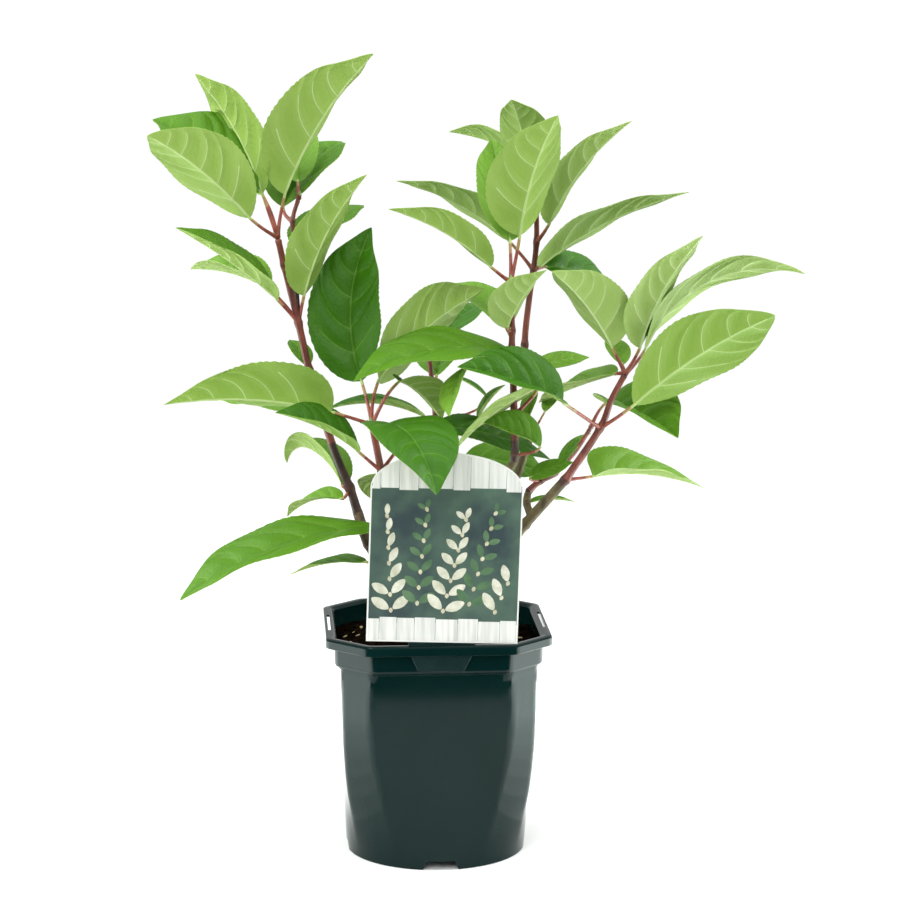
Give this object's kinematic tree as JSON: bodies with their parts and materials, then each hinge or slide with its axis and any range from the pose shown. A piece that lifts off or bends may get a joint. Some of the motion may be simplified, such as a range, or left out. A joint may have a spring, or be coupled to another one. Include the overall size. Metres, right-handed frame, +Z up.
{
  "type": "potted hydrangea shrub",
  "caption": "Leafy young hydrangea shrub without blooms, standing in a square-rimmed nursery pot with an arched plant label held in the rim.",
  "frame": {"origin": "centre of the flat disc under the pot, on the ground", "axes": "+Z up along the plant; the label and the front side of the pot face -Y; +X to the right when the label is read"},
  "size_m": [0.4331, 0.2815, 0.5385],
  "materials": {
    "pot_plastic": "satin dark slate-green moulded plastic",
    "soil": "rough dark potting soil",
    "label_board": "satin printed board",
    "old_wood": "dull thin bark",
    "leaf": "soft leaf surface"
  },
  "bodies": {
    "root": {"pot": "pot_plastic", "potting_soil": "soil", "plant_label": "label_board", "trunk": "old_wood", "left_stem": "old_wood", "right_stem": "old_wood", "front_left_stem": "old_wood", "middle_front_stem": "old_wood", "back_stem": "old_wood", "low_left_stem": "old_wood", "right_short_stem": "old_wood", "middle_back_stem": "old_wood", "left_leaf_mass": "leaf", "front_left_leaf_mass": "leaf", "middle_front_leaf_mass": "leaf", "middle_back_leaf_mass": "leaf", "right_leaf_mass": "leaf", "right_short_leaf_mass": "leaf", "low_left_leaf_mass": "leaf", "back_leaf_mass": "leaf"}
  },
  "joints": []
}
